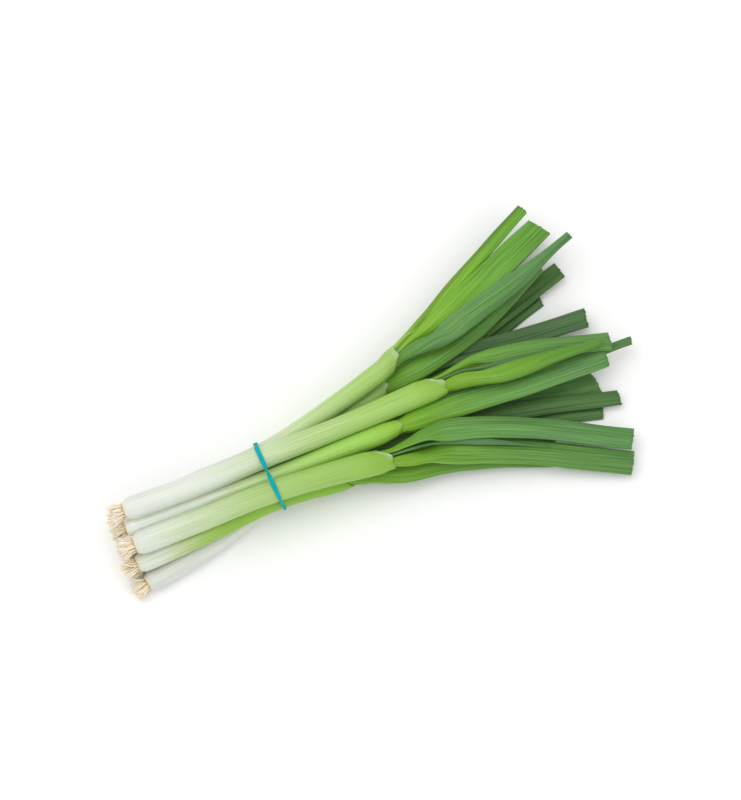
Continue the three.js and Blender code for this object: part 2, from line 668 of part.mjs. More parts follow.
const bunch = new THREE.Group();
const stems = [];
ONIONS.forEach((onion, number) => {
  const stem = layStem(onion, heap);
  stems.push({ onion, ...stem });
  bunch.add(mesh(`${onion.name}_stem`, stemSolid(onion, stem), FINISHES.stem));
  bunch.add(mesh(`${onion.name}_roots`, rootTuft(onion, stem, number + 1), FINISHES.roots));
  onion.leaves.forEach((leaf, i) => {
    const laid = layLeaf(onion, stem, leaf, heap);
    bunch.add(mesh(`${onion.name}_leaf_${i + 1}`, leafSolid(leaf, laid), FINISHES.leaf));
  });
});
bunch.add(mesh("rubber_band", bandSolid(stems), FINISHES.band));

// The origin is under the middle of the bunch, on the table.
const box = new THREE.Box3().setFromObject(bunch);
const middle = box.getCenter(new THREE.Vector3());
bunch.position.set(-middle.x, -middle.y, 0);
const part = new THREE.Group().add(bunch);

export default part;
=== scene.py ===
"""Looks of the spring onion bunch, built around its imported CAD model.

Every stem and leaf keeps the form of its CAD node. The script reads the node's rings of corners, draws a
smooth skin through them and adds what the solid leaves out: ribs, creases, thin cut ends, fine rootlets and
colour. Metres, +Z up. X runs from the roots to the cut leaf tips.
"""
import math
import random
from collections import defaultdict

import bpy
import numpy as np
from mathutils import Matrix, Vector


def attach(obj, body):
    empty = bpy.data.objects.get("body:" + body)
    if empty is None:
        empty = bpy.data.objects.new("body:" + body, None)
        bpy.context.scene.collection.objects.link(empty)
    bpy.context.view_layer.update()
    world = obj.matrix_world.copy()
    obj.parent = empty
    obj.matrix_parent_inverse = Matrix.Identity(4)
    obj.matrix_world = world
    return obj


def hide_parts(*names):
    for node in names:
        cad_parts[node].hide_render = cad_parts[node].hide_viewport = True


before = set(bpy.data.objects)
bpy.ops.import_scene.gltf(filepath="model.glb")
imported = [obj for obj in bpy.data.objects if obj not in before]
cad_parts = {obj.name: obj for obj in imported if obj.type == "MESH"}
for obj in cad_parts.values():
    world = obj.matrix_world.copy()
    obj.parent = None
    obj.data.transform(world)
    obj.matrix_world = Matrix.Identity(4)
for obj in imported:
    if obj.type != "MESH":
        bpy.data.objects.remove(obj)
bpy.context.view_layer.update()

MM = 0.001
FULL_TURN = 2 * math.pi
GOLDEN_ANGLE = math.pi * (3 - math.sqrt(5))
UP = np.array([0.0, 0.0, 1.0])
TILTED_UP = UP + 0.1  # a direction in which no rootlet runs

# Camera at the photograph's angle. Azimuth and elevation are in degrees.
VIEW_AZIMUTH = -24.31
VIEW_ELEVATION = 70
VIEW_DISTANCE = 1171.1 * MM
VIEW_TARGET = Vector((7.44 * MM, 13.8 * MM, 15 * MM))
LENS_MM = 85
SENSOR_MM = 36

# Studio: the floor, where each light hangs, its size and its power, and the even light from all round
FLOOR_HALF = 3.0
LIGHTS = {
    "key": ((-0.4, 0.5, 1.7), 1.8, 15),
    "fill": ((0.3, -1.5, 1.3), 2.0, 8.5),
}
WORLD_STRENGTH = 0.73

# Grid of the skins: steps between two rings of a node, and between two corners of a ring
MERGE_STEP = 0.001 * MM  # corners of a node that are closer than this are one point
STEM_SIDES = 12
LEAF_SIDES = 10
STEM_STEPS = (6, 5)
LEAF_STEPS = (5, 8)

# Random draws
PHASES = (0, 6)  # radians, where a wave may start
SEEDS = (0, 50)  # how far a piece's noise may be shifted
RAGGED_WAVES = (3, 7, 11)  # waves round a rim that add up to a ragged line

# Leaves. Places round a leaf or a stem are shares of the way round, counted from below by the far side.
LEAF_SEAT = 10 * MM  # length of leaf that stands inside its sheath
LEAF_OPENING = 26 * MM  # length beyond the sheath over which a leaf's relief comes to its full height
LEAF_SWELL = 0.2  # how much a leaf widens as it leaves its sheath
LEAF_SWELL_START = 6 * MM  # length over which it widens
LEAF_SWELL_END = 75 * MM  # length over which it comes back to the width of its solid
POINTED_LEAVES = ("onion_7_leaf_2", "onion_8_leaf_2")  # thin inner leaves that narrow towards their end
POINT_LENGTH = 45 * MM
POINT_WIDTH = 0.3  # width at the end over the full width
RIB_SPACING = 2.1 * MM
RIB_WANDER = 0.012  # unevenness of the ribs' spacing, as a share of the way round
RIB_LEVEL = 0.8  # usual height of a rib over the leaf's rib height
RIB_UNEVENNESS = 0.6  # how much single ribs differ from that
RIB_FADING = 0.2  # how much the ribs come and go along a leaf
RIB_FADING_LENGTH = 28 * MM  # length of one radian of that
CREASE_PLACE = 0.5
CREASE_STRAY = 0.06  # how far a crease may lie from that place
CREASE_WIDTH = 0.05  # half width of a crease, as a share of the way round the leaf
RIPPLE = 0.16 * MM  # height of the slow waves in a leaf's surface
RIPPLE_LENGTH = 46 * MM
RIPPLE_SWAY = 3  # radians by which these waves run ahead or behind round the leaf
TIP_WALL = 0.5 * MM
TIP_RAGGED = 0.5 * MM
TIP_RAGGED_LENGTH = 6 * MM
TIP_DEPTHS = [0, 3 * MM, 8 * MM, 16 * MM, 30 * MM]  # rows inside a leaf's cut end

# Stems
BULB_END_DEPTH = 1.8 * MM  # how far a stem's root end is rounded
BULB_END_TURNS = (66, 48, 30, 14)  # degrees, rows of the rounding from its middle out
STEM_SWELL = 0.35 * MM  # how much thicker a stem is than its solid, to close the clearance between solids
SKIN_RIDGE = 0.05 * MM  # height of the fine lengthwise ridges of a stem
SKIN_RIDGES = 22
SKIN_START = 8 * MM  # length from the root end over which ridges and swelling begin
RIDGE_SWAY = 0.3  # how far the ridges sway round the stem, in ridges
RIDGE_SWAY_LENGTH = 40 * MM  # length of one radian of that
SHEATH_WALL = 0.9 * MM
COLLAR_WALL = 0.25 * MM  # thickness of a sheath's rim
COLLAR_RAGGED = 0.5 * MM
COLLAR_CLOSING = 1.0 * MM  # how far a sheath closes on its leaves at the rim
COLLAR_TAPER = 9 * MM  # length over which it closes
COLLAR_POINT = 4 * MM  # length of the pointed lip on the palest rim
COLLAR_POINT_PLACE = 0.46
COLLAR_POINT_WIDTH = 0.06
COLLAR_PALE_PLACE = 0.41  # middle of the pale part of a rim
COLLAR_PALE_WIDTH = 0.14  # half its width
COLLAR_DEPTHS = [0, 2 * MM, 5 * MM, 9 * MM, 11.5 * MM]  # rows inside a sheath's mouth

# The one sheath whose far side opens outwards with the leaf that leaves it there
SPREAD_SHEATH = "onion_4"
SPREAD_LEAF = "onion_4_leaf_1"
SHEATH_SPREAD = 3.0 * MM
LEAF_SPREAD = 3.5 * MM
SPREAD_PLACE = 0.3
SPREAD_WIDTH = 0.14
SPREAD_TAPER = 16 * MM  # length of sheath over which it opens
SPREAD_LEAF_END = 40 * MM  # length of leaf over which it comes back

# Roots. Spread is 0 in the middle of a tuft and 1 at its edge.
ROOT_PLATE_SHARE = 0.74  # radius of the root plate over the stem's
ROOT_PLATE_DEPTH = 2.2 * MM
ROOT_PLATE_ROWS = ((0, 1.0), (0.35, 0.95), (0.7, 0.78), (1.0, 0.4))  # depth and radius, as shares
ROOT_PLATE_SIDES = 24
ROOT_PLATE_TINT = 0.5
ROOTLETS = 70
ROOTLET_RADIUS = 0.55 * MM
ROOTLET_RADII = (0.7, 1.2)  # thinnest and thickest rootlet over that radius
ROOTLET_TAPER = 0.65  # radius of the tip over that of the foot
ROOTLET_LENGTH = 9.5 * MM
ROOTLET_LENGTHS = (0.7, 1.12)  # shortest and longest rootlet over that length
ROOTLET_MIDDLE = 1.05  # factor on the length in the middle of the tuft
ROOTLET_EDGE_LOSS = 0.2  # how much smaller that factor is at the edge
ROOTLET_SINK = 0.8  # height at which a rootlet starts, over the height of the rounded bulb end there
ROOTLET_STRAY = 0.3  # radians, how far a rootlet's foot may be from its even place
ROOTLET_FLARES = (0.6, 4.2)  # mm, how far the tip of a rootlet at the edge leans out
ROOTLET_FLARE_BEND = 1.5  # above 1 the lean grows towards the tip
ROOTLET_CURL = 0.44  # radians, furthest that a tip swings round the tuft
ROOTLET_WAVE = 0.35 * MM
ROOTLET_WAVE_TURN = 6  # radians of wave along a rootlet
ROOTLET_TINTS = (0, 0.6)  # least and most yellow rootlet
ROOTLET_SIDES = 5
ROOTLET_ROWS = 6

# Rubber band
BAND_WIDTH = 2.8 * MM
BAND_THICKNESS = 1.0 * MM
BAND_NARROW = 0.4  # how much narrower the stretched band is at its near edge
BAND_NARROW_LENGTH = 5 * MM
BAND_CORNERS = 4  # corners of the CAD band at each station
BAND_STEPS = 4
BAND_SIDES = 20
BAND_SQUARENESS = 0.45  # below 1 the band's section is a rectangle with round corners

# For each onion: how far from its root the white stem turns green in mm, how green it is there (1 is
# usual), how pale the rim of its sheath is, and its lightness. The lightness is partly the stem's own tone
# and partly painted light and shade: onion_3 and onion_6, which lie in shadow in the bunch, are painted
# lighter, and onion_2 is painted darker as painted shade.
STEM_LOOKS = {
    "onion_1": (70, 1.0, 0.2, 1.0),
    "onion_2": (95, 0.8, 0.2, 0.92),
    "onion_3": (100, 0.8, 0.7, 1.36),
    "onion_4": (98, 0.75, 0.5, 1.0),
    "onion_5": (46, 1.6, 0.1, 1.0),
    "onion_6": (82, 1.3, 0.2, 1.22),
    "onion_7": (46, 1.05, 0.9, 0.97),
    "onion_8": (86, 0.9, 0.9, 1.0),
}

# For each leaf: lightness, waxy blue bloom, rib height in mm, depth of the crease along its upper side in
# mm, how fast it turns from the sheath's bright green to full green (1 is usual), and how far in mm it has
# already turned where it leaves the sheath. Below 0 it starts as pale as the sheath. The lightness is
# partly the leaf's own tone and partly painted shade: the low values darken leaves that lie in shadow under
# others.
LEAF_LOOKS = {
    "onion_1_leaf_1": (0.64, 0.25, 0.10, 0.3, 1.0, 60),
    "onion_1_leaf_2": (0.50, 0.05, 0.06, 0.0, 1.0, 40),
    "onion_1_leaf_3": (0.46, 0.05, 0.08, 0.4, 1.0, 40),
    "onion_2_leaf_1": (0.54, 0.20, 0.08, 0.0, 1.0, 60),
    "onion_2_leaf_2": (0.50, 0.20, 0.08, 0.3, 1.0, 60),
    "onion_3_leaf_1": (0.45, 0.50, 0.10, 0.9, 1.0, 60),
    "onion_3_leaf_2": (0.84, 0.15, 0.08, 0.0, 1.0, 16),
    "onion_4_leaf_1": (0.90, 0.00, 0.03, 0.0, 0.65, -26),
    "onion_4_leaf_2": (0.92, 0.05, 0.09, 0.4, 0.8, -12),
    "onion_4_leaf_3": (0.78, 0.50, 0.06, 0.7, 1.0, 40),
    "onion_5_leaf_1": (0.70, 0.00, 0.05, 0.0, 1.0, 0),
    "onion_5_leaf_2": (0.75, 0.00, 0.06, 0.2, 0.8, 6),
    "onion_6_leaf_1": (0.66, 0.35, 0.05, 0.0, 1.4, 0),
    "onion_6_leaf_2": (0.82, 0.30, 0.14, 0.0, 1.1, 0),
    "onion_7_leaf_1": (0.72, 0.20, 0.11, 0.0, 0.9, 0),
    "onion_7_leaf_2": (0.64, 0.75, 0.04, 0.0, 1.0, 60),
    "onion_7_leaf_3": (0.81, 0.35, 0.07, 0.0, 1.2, 14),
    "onion_8_leaf_1": (0.77, 0.20, 0.12, 0.3, 0.9, 18),
    "onion_8_leaf_2": (0.60, 0.75, 0.04, 0.0, 1.0, 60),
    "onion_8_leaf_3": (0.75, 0.00, 0.05, 0.0, 0.7, 0),
}

# Folded leaves with painted shade on one half, the half turned from the light: how much darker that half
# is painted (below 0 on the far side, above 0 on the near side) and where it begins.
FOLD_SHADES = {
    "onion_3_leaf_2": (0.10, 0.56),
    "onion_4_leaf_1": (-0.35, 0.40),
    "onion_4_leaf_2": (0.10, 0.60),
    "onion_4_leaf_3": (0.22, 0.53),
    "onion_7_leaf_3": (-0.08, 0.45),
    "onion_8_leaf_3": (0.12, 0.58),
}
NO_FOLD = (0, 0.5)
FOLD_WIDTH = 0.04  # how far round the change from light to dark goes

# Materials
STREAK_DETAIL = 3.0  # octaves of noise
GRAIN_DETAIL = 2.0
STREAK_SPAN = (0.2, 0.8)  # values of noise between which streaks change
GRAIN_SPAN = (0.3, 0.7)  # the same for grain and soft patches
STEM_SPAN = (-70, 130)  # mm past the place where a stem turns green, over which its colours run
LEAF_SPAN = (-35, 140)  # mm that a leaf has turned, over which its colours run


def smooth(value):
    """0 to 1 with soft ends."""
    t = np.clip(value, 0, 1)
    return t * t * (3 - 2 * t)


def hump(value, middle, width):
    """1 in the middle, falling softly to 0 on both sides."""
    return np.exp(-(((value - middle) / width) ** 2))


def mix(a, b, t):
    """The value a share t of the way from a to b."""
    return a + (b - a) * t


def unit(vectors):
    """The same directions with length 1."""
    return vectors / np.linalg.norm(vectors, axis=-1, keepdims=True)


# Reading the frame

def merged_mesh(node):
    """A node's distinct points and its faces as numbers of those points."""
    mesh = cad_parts[node].data
    corners = np.array([v.co for v in mesh.vertices])
    keys, which = np.unique(np.round(corners / MERGE_STEP).astype(int), axis=0, return_inverse=True)
    which = np.ravel(which)
    places = np.zeros((len(keys), 3))
    places[which] = corners
    return places, [[int(which[v]) for v in face.vertices] for face in mesh.polygons]


def rings_of(node, sides):
    """A node's outer rings of corners from its root end to its rim, counted round from below at the rim."""
    places, faces = merged_mesh(node)
    near = defaultdict(set)
    for face in faces:
        for a, b in zip(face, face[1:] + face[:1]):
            near[a].add(b)
            near[b].add(a)
    # Rings are found one after the other from the middle of the root end. The last two are inside the
    # open end.
    poles = [v for v in near if len(near[v]) == sides]
    layer = {min(poles, key=lambda v: places[v][0])}
    seen = set(layer)
    layers = []
    while layer:
        layer = {w for v in layer for w in near[v]} - seen
        seen |= layer
        if len(layer) == sides:
            layers.append(places[sorted(layer)])
    outer = np.array(layers[:-2])
    ordered = []
    for ring, (centre, _, side, rise) in zip(outer, zip(*row_frames(outer))):
        across = (ring - centre) @ side
        height = (ring - centre) @ rise
        angle = np.arctan2(height / np.ptp(height), across / np.ptp(across))
        ordered.append(ring[np.argsort((angle + math.pi / 2) % FULL_TURN)])
    # Each ring starts at the corner that matches the ring after it best, so that no span is twisted.
    for i in range(len(ordered) - 2, -1, -1):
        shape = ordered[i] - ordered[i].mean(0)
        beyond = ordered[i + 1] - ordered[i + 1].mean(0)
        turns = [np.linalg.norm(np.roll(shape, turn, 0) - beyond) for turn in range(sides)]
        ordered[i] = np.roll(ordered[i], int(np.argmin(turns)), 0)
    return np.array(ordered)


def row_frames(rows):
    """Centre, direction, sideways axis and upward axis of each row of points."""
    centre = rows.mean(1)
    along = unit(np.gradient(centre, axis=0))
    side = unit(np.cross(UP, along))
    return centre, along, side, np.cross(along, side)


# Smooth skins

def finer(points, steps, closed):
    """Points on a Catmull-Rom curve through points, along the first axis, with some steps to each span."""
    if closed:
        before, start, end, beyond = (np.roll(points, shift, 0) for shift in (1, 0, -1, -2))
    else:
        first = 2 * points[:1] - points[1:2]
        last = 2 * points[-1:] - points[-2:-1]
        padded = np.concatenate([first, points, last])
        before, start, end, beyond = padded[:-3], padded[1:-2], padded[2:-1], padded[3:]
    slope_start = (end - before) / 2
    slope_end = (beyond - start) / 2
    parts = []
    for step in range(steps):
        t = step / steps
        parts.append((2 * t**3 - 3 * t**2 + 1) * start + (t**3 - 2 * t**2 + t) * slope_start
                     + (3 * t**2 - 2 * t**3) * end + (t**3 - t**2) * slope_end)
    curve = np.stack(parts, 1).reshape(-1, *points.shape[1:])
    return curve if closed else np.concatenate([curve, points[-1:]])


def above_table(rows, least=0):
    """The same points, none of them lower than a least height."""
    rows[..., 2] = np.maximum(rows[..., 2], least)
    return rows


def smooth_rows(rings, steps):
    """A finer grid through rings of corners, kept above the table."""
    rows = finer(rings, steps[0], closed=False)
    rows = finer(rows.swapaxes(0, 1), steps[1], closed=True).swapaxes(0, 1)
    return above_table(rows)


def outward(rows):
    """Unit normals of a grid that is closed round its rows."""
    round_row = np.roll(rows, -1, 1) - np.roll(rows, 1, 1)
    return unit(np.cross(round_row, np.gradient(rows, axis=0)))


def moved(rows, direction, amount):
    """Rows of points, each point moved by its own amount."""
    return rows + direction * amount[..., None]


def run_length(points):
    """Distance from the first point along the first axis."""
    steps = np.linalg.norm(np.diff(points, axis=0), axis=-1)
    return np.concatenate([np.zeros_like(steps[:1]), np.cumsum(steps, axis=0)])


def round_lengths(row):
    """How far round a closed row each of its points is, and the whole length round it."""
    lengths = run_length(np.concatenate([row, row[:1]]))
    return lengths[:-1], lengths[-1]


def ragged(share, draw):
    """A closed wavy line from -1 to 1 round a rim."""
    total = sum(np.sin(FULL_TURN * (wave * share + draw.random())) for wave in RAGGED_WAVES)
    return total / len(RAGGED_WAVES)


def shrunk(rows, wall):
    """Rows moved inwards by a wall, across and up separately, so that flat tubes stay open."""
    centre, along, side, rise = (axis[:, None, :] for axis in row_frames(rows))
    across = ((rows - centre) * side).sum(-1, keepdims=True)
    height = ((rows - centre) * rise).sum(-1, keepdims=True)
    onwards = ((rows - centre) * along).sum(-1, keepdims=True)
    half_width = np.ptp(across, axis=1, keepdims=True) / 2
    half_height = np.ptp(height, axis=1, keepdims=True) / 2
    wall = np.reshape(wall, (-1, 1, 1))
    narrower = across * (1 - wall / half_width)
    lower = height * (1 - wall / half_height)
    return centre + side * narrower + rise * lower + along * onwards


def hollow_end(rows, depths, walls):
    """Rows inside the open end of a skin, from its rim down to a floor."""
    back = run_length(rows.mean(1)[::-1])
    chosen = [len(rows) - 1 - int(np.argmin(np.abs(back - depth))) for depth in depths]
    all_walls = np.full(len(rows), walls[-1])
    all_walls[chosen] = walls
    return shrunk(rows, all_walls)[chosen]


def carried_in(values, inside):
    """Values along a skin, with the last of them kept for the rows inside its end."""
    return np.concatenate([values, np.full((len(inside), 1), values[-1, 0])])


def skin_mesh(name, rows, marks):
    """A mesh over rows of points, closed round each row and at both ends, with every mark at each point."""
    count, sides = rows.shape[:2]
    points = np.concatenate([rows.reshape(-1, 3), rows[:1].mean(1), rows[-1:].mean(1)])
    index = np.arange(count * sides).reshape(count, sides)
    turned = np.roll(index, -1, 1)
    quads = np.stack([index[:-1], turned[:-1], turned[1:], index[1:]], -1).reshape(-1, 4)
    first, last = count * sides, count * sides + 1
    root_cap = [(first, b, a) for a, b in zip(index[0], turned[0])]
    rim_cap = [(last, a, b) for a, b in zip(index[-1], turned[-1])]
    faces = quads.tolist() + [tuple(map(int, face)) for face in root_cap + rim_cap]
    values = {}
    for mark, grid in marks.items():
        full = np.broadcast_to(grid, (count, sides))
        values[mark] = np.concatenate([full.ravel(), [full[0].mean(), full[-1].mean()]])
    return mesh_object(name, points, faces, values)


def mesh_object(name, points, faces, marks):
    """A smooth mesh in the scene, with a named value of each mark at each point."""
    mesh = bpy.data.meshes.new(name)
    mesh.from_pydata(points.tolist(), [], faces)
    for mark, values in marks.items():
        attribute = mesh.attributes.new(mark, "FLOAT", "POINT")
        attribute.data.foreach_set("value", np.asarray(values, np.float32))
    mesh.polygons.foreach_set("use_smooth", [True] * len(mesh.polygons))
    mesh.update()
    piece = bpy.data.objects.new(name, mesh)
    bpy.context.scene.collection.objects.link(piece)
    return piece


def place(piece, node, material):
    """Lets a finished piece stand for a CAD node."""
    piece.data.materials.append(material)
    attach(piece, "root")
    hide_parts(node)


# Materials

def colour(red, green, blue):
    """A colour seen on a screen, 0 to 255, as the linear colour that a shader takes."""
    def linear(value):
        share = value / 255
        return share / 12.92 if share <= 0.04045 else ((share + 0.055) / 1.055) ** 2.4
    return (linear(red), linear(green), linear(blue), 1)


class Shader:
    """A material's nodes, with a short call for each kind that is used here."""

    def __init__(self, name, **constants):
        self.material = bpy.data.materials.new(name)
        self.material.use_nodes = True
        self.tree = self.material.node_tree
        self.surface = self.tree.nodes["Principled BSDF"]
        for socket, value in constants.items():
            self.surface.inputs[socket.replace("_", " ")].default_value = value

    def feed(self, socket, value):
        """Gives a socket a constant or the output of another node."""
        if isinstance(value, bpy.types.NodeSocket):
            self.tree.links.new(value, socket)
        else:
            socket.default_value = value

    def node(self, kind, inputs, **settings):
        made = self.tree.nodes.new(kind)
        for name, value in settings.items():
            setattr(made, name, value)
        for socket, value in inputs.items():
            self.feed(made.inputs[socket], value)
        return made

    def set(self, socket, value):
        self.tree.links.new(value, self.surface.inputs[socket])

    def mark(self, name):
        return self.node("ShaderNodeAttribute", {}, attribute_name=name).outputs["Fac"]

    def math(self, operation, a, b):
        return self.node("ShaderNodeMath", {0: a, 1: b}, operation=operation).outputs[0]

    def spread(self, value, low, high, to_low=0.0, to_high=1.0):
        inputs = {"Value": value, "From Min": low, "From Max": high, "To Min": to_low, "To Max": to_high}
        return self.node("ShaderNodeMapRange", inputs, clamp=True).outputs["Result"]

    def vector(self, x, y, z):
        return self.node("ShaderNodeCombineXYZ", {"X": x, "Y": y, "Z": z}).outputs[0]

    def noise(self, vector, scale, detail):
        inputs = {"Vector": vector, "Scale": scale, "Detail": detail}
        return self.node("ShaderNodeTexNoise", inputs).outputs["Fac"]

    def grain(self, scale):
        """Even noise in the piece's own space, with so many waves in a metre."""
        return self.noise(self.node("ShaderNodeTexCoord", {}).outputs["Object"], scale, GRAIN_DETAIL)

    def streaks(self, round_scale, along_scale):
        """Noise drawn out along a stem or leaf: waves in the way round, and waves in a millimetre along."""
        around = self.math("MULTIPLY", self.mark("around"), round_scale)
        along = self.math("MULTIPLY", self.mark("along"), along_scale)
        return self.noise(self.vector(around, along, self.mark("seed")), 1.0, STREAK_DETAIL)

    def ramp(self, factor, stops):
        made = self.node("ShaderNodeValToRGB", {"Fac": factor})
        elements = made.color_ramp.elements
        elements[0].position, elements[0].color = stops[0]
        elements[1].position, elements[1].color = stops[-1]
        for position, value in stops[1:-1]:
            elements.new(position).color = value
        return made.outputs["Color"]

    def blend(self, factor, a, b, kind="MIX"):
        made = self.node("ShaderNodeMix", {}, data_type="RGBA", blend_type=kind)
        for socket, value in ((made.inputs[0], factor), (made.inputs[6], a), (made.inputs[7], b)):
            self.feed(socket, value)
        return made.outputs[2]

    def lit_base(self, value):
        """Sets the base colour, made lighter or darker by the piece's lightness, which holds painted light
        and shade as well as the piece's own tone.
        """
        light = self.mark("lightness")
        self.set("Base Color", self.blend(1.0, value, self.vector(light, light, light), "MULTIPLY"))

    def bump(self, height, strength, distance):
        inputs = {"Height": height, "Strength": strength, "Distance": distance}
        self.set("Normal", self.node("ShaderNodeBump", inputs).outputs["Normal"])


def stem_material():
    """Moist skin that turns in streaks from white to green along the stem."""
    s = Shader("onion_stem", Roughness=0.38, Subsurface_Weight=0.35, Subsurface_Scale=0.006,
               Subsurface_Radius=(1.0, 0.9, 0.5), Specular_IOR_Level=0.4)
    fine = s.streaks(90, 0.02)
    broad = s.streaks(9, 0.01)
    # Distance in mm past the place where the stem turns green, with ragged streaks
    stray = s.math("ADD", s.spread(fine, *STREAK_SPAN, -9, 9), s.spread(broad, *STREAK_SPAN, -14, 14))
    distance = s.math("ADD", s.math("SUBTRACT", s.mark("along"), s.mark("turn")), stray)
    body = s.ramp(s.spread(distance, *STEM_SPAN), [
        (0.00, colour(222, 225, 218)),
        (0.18, colour(221, 226, 217)),
        (0.36, colour(207, 220, 187)),
        (0.50, colour(188, 211, 148)),
        (0.70, colour(168, 202, 112)),
        (1.00, colour(152, 196, 80)),
    ])
    deep = s.ramp(s.spread(distance, *STEM_SPAN), [
        (0.00, colour(220, 224, 215)),
        (0.20, colour(215, 221, 206)),
        (0.27, colour(190, 204, 150)),
        (0.34, colour(160, 192, 96)),
        (0.42, colour(140, 184, 60)),
        (1.00, colour(116, 172, 26)),
    ])
    skin = s.blend(s.spread(s.mark("green"), 0.8, 1.6), body, deep)
    skin = s.blend(s.spread(fine, 0.45, 0.75, 0, 0.3), skin, colour(140, 176, 84), "MULTIPLY")
    # Fresh green towards the mouth, a pale rim, a yellowish root end and a paler inside
    greener = s.spread(s.mark("green"), 0.75, 0.9)
    fresh = s.math("MULTIPLY", s.spread(s.mark("edge"), 0.0, 22.0, 0.6, 0.0), greener)
    skin = s.blend(fresh, skin, colour(132, 186, 40))
    rim = s.math("MULTIPLY", s.spread(s.mark("edge"), 0.3, 3.5, 0.8, 0.0), s.mark("pale"))
    skin = s.blend(rim, skin, colour(222, 232, 204))
    skin = s.blend(s.spread(s.mark("along"), 0.0, 4.0, 0.5, 0.0), skin, colour(232, 222, 192))
    skin = s.blend(s.math("MULTIPLY", s.mark("inside"), 0.8), skin, colour(186, 212, 124))
    s.lit_base(skin)
    s.set("Roughness", s.spread(fine, *STREAK_SPAN, 0.3, 0.46))
    s.bump(fine, 0.25, 0.0006)
    return s.material


def leaf_material():
    """Green skin with fine streaks and a waxy bloom."""
    s = Shader("onion_leaf", Roughness=0.42, Specular_IOR_Level=0.42, Subsurface_Weight=0.06,
               Subsurface_Scale=0.002, Subsurface_Radius=(0.6, 1.0, 0.3))
    fine = s.streaks(80, 0.02)
    broad = s.streaks(12, 0.014)
    # Distance in mm that the leaf has turned from the sheath's green to its own
    paced = s.math("ADD", s.math("MULTIPLY", s.mark("along"), s.mark("pace")), s.mark("lead"))
    distance = s.math("ADD", paced, s.spread(broad, *STREAK_SPAN, -16, 16))
    green = s.ramp(s.spread(distance, *LEAF_SPAN), [
        (0.00, colour(176, 212, 110)),
        (0.18, colour(138, 192, 24)),
        (0.33, colour(116, 176, 8)),
        (0.52, colour(98, 160, 24)),
        (0.76, colour(88, 148, 38)),
        (1.00, colour(82, 140, 50)),
    ])
    # Waxy bloom in soft patches
    waxy = s.math("MULTIPLY", s.mark("bloom"), s.spread(distance, 8, 60))
    waxy = s.math("MULTIPLY", waxy, s.spread(s.streaks(5, 0.024), *GRAIN_SPAN, 0.55, 1.0))
    green = s.blend(waxy, green, colour(104, 150, 108))
    # Light and dark streaks, paler ribs, a pale cut edge and a paler inside
    green = s.blend(s.spread(fine, 0.48, 0.72, 0, 0.5), green, colour(120, 176, 84), "SCREEN")
    green = s.blend(s.spread(fine, 0.5, 0.25, 0, 0.6), green, colour(110, 150, 70), "MULTIPLY")
    green = s.blend(s.spread(s.mark("rib"), 0.0, 0.16, 0, 0.5), green, colour(150, 198, 112))
    green = s.blend(s.spread(s.mark("edge"), 0.1, 1.0, 0.4, 0.0), green, colour(150, 190, 96))
    green = s.blend(s.math("MULTIPLY", s.mark("inside"), 0.6), green, colour(140, 186, 84))
    s.lit_base(green)
    s.set("Roughness", s.spread(fine, *STREAK_SPAN, 0.34, 0.52))
    s.bump(fine, 0.4, 0.0008)
    return s.material


def root_material():
    """Dry fibres, straw yellow at the foot and nearly white further out."""
    s = Shader("onion_roots", Roughness=0.75, Specular_IOR_Level=0.3, Subsurface_Weight=0.1,
               Subsurface_Scale=0.002, Subsurface_Radius=(1.0, 0.8, 0.5))
    grain = s.grain(900.0)
    along = s.math("ADD", s.mark("along"), s.spread(grain, *GRAIN_SPAN, -0.15, 0.15))
    straw = s.ramp(along, [
        (0.00, colour(214, 182, 126)),
        (0.22, colour(244, 230, 200)),
        (0.80, colour(253, 249, 238)),
        (1.00, colour(248, 238, 214)),
    ])
    s.set("Base Color", s.blend(s.mark("tint"), straw, colour(236, 214, 168)))
    s.bump(grain, 0.4, 0.0004)
    return s.material


def band_material():
    """Matt teal rubber, darker along its edges."""
    s = Shader("band_rubber", Roughness=0.6, Specular_IOR_Level=0.1)
    grain = s.grain(1400.0)
    cloud = s.spread(s.grain(160.0), *GRAIN_SPAN)
    teal = s.ramp(cloud, [(0.0, colour(0, 154, 160)), (1.0, colour(4, 172, 176))])
    s.set("Base Color", s.blend(s.spread(s.mark("rim"), 0.7, 1.0, 0, 0.5), teal, colour(0, 138, 150)))
    s.set("Roughness", s.spread(grain, *GRAIN_SPAN, 0.52, 0.7))
    s.bump(grain, 0.3, 0.0002)
    return s.material


def floor_material():
    """Nearly white and slightly mottled."""
    s = Shader("floor", Roughness=0.8, Specular_IOR_Level=0.1)
    s.set("Base Color", s.ramp(s.grain(3.0), [(0.0, colour(244, 244, 243)), (1.0, colour(250, 250, 250))]))
    return s.material


# Stems and leaves

def dress(node, rows, inside, marks, material):
    """Makes a skin with its hollow end and lets it stand for a node."""
    full = np.concatenate([rows, inside])
    marks["inside"] = np.arange(len(full))[:, None] >= len(rows)
    place(skin_mesh(f"{node}_skin", full, marks), node, material)


def rounded_end(rows):
    """Rows that round off a stem's root end, from the middle out."""
    centre, along = (axis[0] for axis in row_frames(rows)[:2])
    turns = np.radians(BULB_END_TURNS)[:, None, None]
    return centre + (rows[0] - centre) * np.cos(turns) - along * BULB_END_DEPTH * np.sin(turns)


